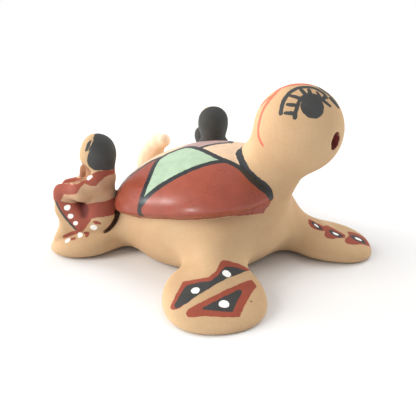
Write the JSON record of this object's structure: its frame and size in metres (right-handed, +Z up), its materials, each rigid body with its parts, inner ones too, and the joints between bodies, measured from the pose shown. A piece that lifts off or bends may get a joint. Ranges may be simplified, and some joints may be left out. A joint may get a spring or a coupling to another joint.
{
  "type": "turtle storyteller figurine",
  "caption": "Hand-modelled fired clay turtle raising its head to sing, with seated children on its back flippers; painted in earth colours.",
  "frame": {"origin": "on the standing surface, under the middle of the turtle's body", "axes": "+X the way the turtle looks, +Y to its left, +Z up"},
  "size_m": [0.1416, 0.1362, 0.0892],
  "materials": {
    "painted_clay": "matte"
  },
  "bodies": {
    "root": {"turtle_storyteller": "painted_clay"}
  },
  "joints": []
}
